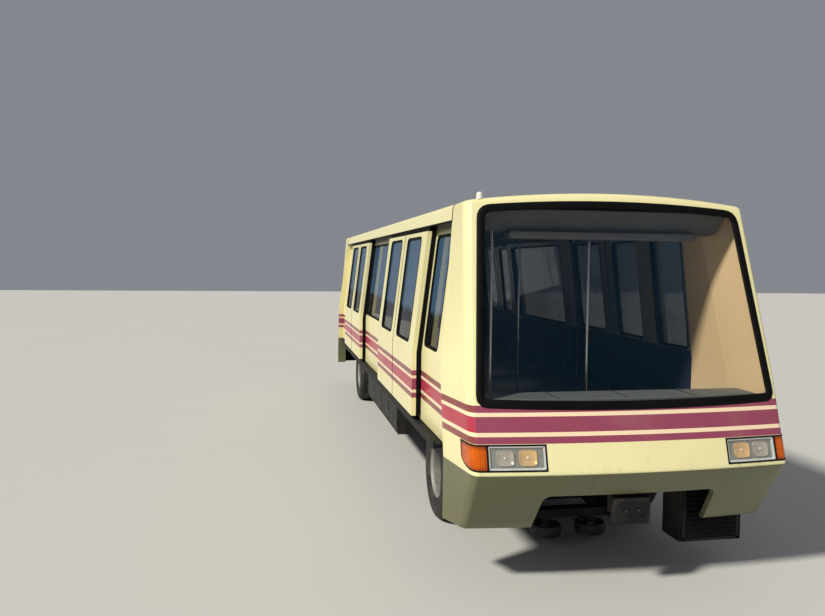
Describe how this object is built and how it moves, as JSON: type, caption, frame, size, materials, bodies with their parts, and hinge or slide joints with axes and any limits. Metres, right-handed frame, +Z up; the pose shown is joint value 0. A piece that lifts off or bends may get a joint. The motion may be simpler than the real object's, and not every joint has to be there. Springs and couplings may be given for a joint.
{
  "type": "automated people mover car",
  "caption": "Driverless rubber-tyred guideway car: large raked windscreens in two end caps, outside-hung sliding doors in recessed sides, steered bogies under the floor.",
  "frame": {"origin": "on the running surface, under the middle of the car's length and width", "axes": "+X towards the front end, +Y to the car's left, +Z up"},
  "size_m": [11.54, 2.84, 3.263],
  "materials": {
    "body_paint": "gloss cream paint with mauve stripes, faded",
    "roof_paint": "satin pale cream paint",
    "frame_paint": "dull dark grey paint with road dust",
    "tinted_glass": "grey tinted safety glass",
    "lamp_lens": "clear and amber lamp lenses",
    "tyre": "worn black tyre rubber",
    "guide_wheel": "solid rubber guide tyre on a steel hub",
    "floor_covering": "studded grey rubber floor",
    "bench_covering": "dark navy moulded seat"
  },
  "bodies": {
    "car": {"underframe": "frame_paint", "floor": "floor_covering", "roof": "roof_paint", "front_cap": "body_paint", "front_windscreen": "tinted_glass", "front_bench": "bench_covering", "front_coupler": "frame_paint", "front_lamp_right": "lamp_lens", "front_lamp_left": "lamp_lens", "rear_cap": "body_paint", "rear_windscreen": "tinted_glass", "rear_bench": "bench_covering", "rear_coupler": "frame_paint", "rear_lamp_right": "lamp_lens", "rear_lamp_left": "lamp_lens", "header_right": "roof_paint", "wall_front_right": "body_paint", "glass_front_right": "tinted_glass", "wall_middle_right": "body_paint", "glass_middle_right": "tinted_glass", "wall_rear_right": "body_paint", "glass_rear_right": "tinted_glass", "header_left": "roof_paint", "wall_front_left": "body_paint", "glass_front_left": "tinted_glass", "wall_middle_left": "body_paint", "glass_middle_left": "tinted_glass", "wall_rear_left": "body_paint", "glass_rear_left": "tinted_glass"},
    "front_bogie": {"front_bogie": "frame_paint"},
    "front_wheel_right": {"front_wheel_right": "tyre"},
    "front_guide_lead_right": {"front_guide_lead_right": "guide_wheel"},
    "front_guide_trail_right": {"front_guide_trail_right": "guide_wheel"},
    "front_wheel_left": {"front_wheel_left": "tyre"},
    "front_guide_lead_left": {"front_guide_lead_left": "guide_wheel"},
    "front_guide_trail_left": {"front_guide_trail_left": "guide_wheel"},
    "rear_bogie": {"rear_bogie": "frame_paint"},
    "rear_wheel_right": {"rear_wheel_right": "tyre"},
    "rear_guide_lead_right": {"rear_guide_lead_right": "guide_wheel"},
    "rear_guide_trail_right": {"rear_guide_trail_right": "guide_wheel"},
    "rear_wheel_left": {"rear_wheel_left": "tyre"},
    "rear_guide_lead_left": {"rear_guide_lead_left": "guide_wheel"},
    "rear_guide_trail_left": {"rear_guide_trail_left": "guide_wheel"},
    "door_a_right": {"door_a_right": "body_paint", "door_glass_a_right": "tinted_glass"},
    "door_b_right": {"door_b_right": "body_paint", "door_glass_b_right": "tinted_glass"},
    "door_c_right": {"door_c_right": "body_paint", "door_glass_c_right": "tinted_glass"},
    "door_d_right": {"door_d_right": "body_paint", "door_glass_d_right": "tinted_glass"},
    "door_a_left": {"door_a_left": "body_paint", "door_glass_a_left": "tinted_glass"},
    "door_b_left": {"door_b_left": "body_paint", "door_glass_b_left": "tinted_glass"},
    "door_c_left": {"door_c_left": "body_paint", "door_glass_c_left": "tinted_glass"},
    "door_d_left": {"door_d_left": "body_paint", "door_glass_d_left": "tinted_glass"}
  },
  "joints": [
    {"name": "front_bogie_steer", "type": "hinge", "parent": "car", "child": "front_bogie", "pos_m": [3.5, 0, 0.88], "axis": [0, 0, 1], "range_deg": [-8, 8]},
    {"name": "front_wheel_right_spin", "type": "hinge", "parent": "front_bogie", "child": "front_wheel_right", "pos_m": [3.5, -0.86, 0.5], "axis": [0, 1, 0], "continuous": true},
    {"name": "front_guide_lead_right_spin", "type": "hinge", "parent": "front_bogie", "child": "front_guide_lead_right", "pos_m": [4.31, -0.225, 0.12], "axis": [0, 0, 1], "continuous": true},
    {"name": "front_guide_trail_right_spin", "type": "hinge", "parent": "front_bogie", "child": "front_guide_trail_right", "pos_m": [2.69, -0.225, 0.12], "axis": [0, 0, 1], "continuous": true},
    {"name": "front_wheel_left_spin", "type": "hinge", "parent": "front_bogie", "child": "front_wheel_left", "pos_m": [3.5, 0.86, 0.5], "axis": [0, 1, 0], "continuous": true},
    {"name": "front_guide_lead_left_spin", "type": "hinge", "parent": "front_bogie", "child": "front_guide_lead_left", "pos_m": [4.31, 0.225, 0.12], "axis": [0, 0, 1], "continuous": true},
    {"name": "front_guide_trail_left_spin", "type": "hinge", "parent": "front_bogie", "child": "front_guide_trail_left", "pos_m": [2.69, 0.225, 0.12], "axis": [0, 0, 1], "continuous": true},
    {"name": "rear_bogie_steer", "type": "hinge", "parent": "car", "child": "rear_bogie", "pos_m": [-3.5, 0, 0.88], "axis": [0, 0, 1], "range_deg": [-8, 8]},
    {"name": "rear_wheel_right_spin", "type": "hinge", "parent": "rear_bogie", "child": "rear_wheel_right", "pos_m": [-3.5, -0.86, 0.5], "axis": [0, 1, 0], "continuous": true},
    {"name": "rear_guide_lead_right_spin", "type": "hinge", "parent": "rear_bogie", "child": "rear_guide_lead_right", "pos_m": [-2.69, -0.225, 0.12], "axis": [0, 0, 1], "continuous": true},
    {"name": "rear_guide_trail_right_spin", "type": "hinge", "parent": "rear_bogie", "child": "rear_guide_trail_right", "pos_m": [-4.31, -0.225, 0.12], "axis": [0, 0, 1], "continuous": true},
    {"name": "rear_wheel_left_spin", "type": "hinge", "parent": "rear_bogie", "child": "rear_wheel_left", "pos_m": [-3.5, 0.86, 0.5], "axis": [0, 1, 0], "continuous": true},
    {"name": "rear_guide_lead_left_spin", "type": "hinge", "parent": "rear_bogie", "child": "rear_guide_lead_left", "pos_m": [-2.69, 0.225, 0.12], "axis": [0, 0, 1], "continuous": true},
    {"name": "rear_guide_trail_left_spin", "type": "hinge", "parent": "rear_bogie", "child": "rear_guide_trail_left", "pos_m": [-4.31, 0.225, 0.12], "axis": [0, 0, 1], "continuous": true},
    {"name": "door_a_right_slide", "type": "slide", "parent": "car", "child": "door_a_right", "axis": [1, 0, 0], "range_m": [0, 1]},
    {"name": "door_b_right_slide", "type": "slide", "parent": "car", "child": "door_b_right", "axis": [-1, 0, 0], "range_m": [0, 1]},
    {"name": "door_c_right_slide", "type": "slide", "parent": "car", "child": "door_c_right", "axis": [1, 0, 0], "range_m": [0, 1]},
    {"name": "door_d_right_slide", "type": "slide", "parent": "car", "child": "door_d_right", "axis": [-1, 0, 0], "range_m": [0, 1]},
    {"name": "door_a_left_slide", "type": "slide", "parent": "car", "child": "door_a_left", "axis": [1, 0, 0], "range_m": [0, 1]},
    {"name": "door_b_left_slide", "type": "slide", "parent": "car", "child": "door_b_left", "axis": [-1, 0, 0], "range_m": [0, 1]},
    {"name": "door_c_left_slide", "type": "slide", "parent": "car", "child": "door_c_left", "axis": [1, 0, 0], "range_m": [0, 1]},
    {"name": "door_d_left_slide", "type": "slide", "parent": "car", "child": "door_d_left", "axis": [-1, 0, 0], "range_m": [0, 1]}
  ],
  "couplings": [
    {"joint": "door_b_right_slide", "follows": "door_a_right_slide", "ratio": 1},
    {"joint": "door_d_right_slide", "follows": "door_c_right_slide", "ratio": 1},
    {"joint": "door_b_left_slide", "follows": "door_a_left_slide", "ratio": 1},
    {"joint": "door_d_left_slide", "follows": "door_c_left_slide", "ratio": 1}
  ]
}
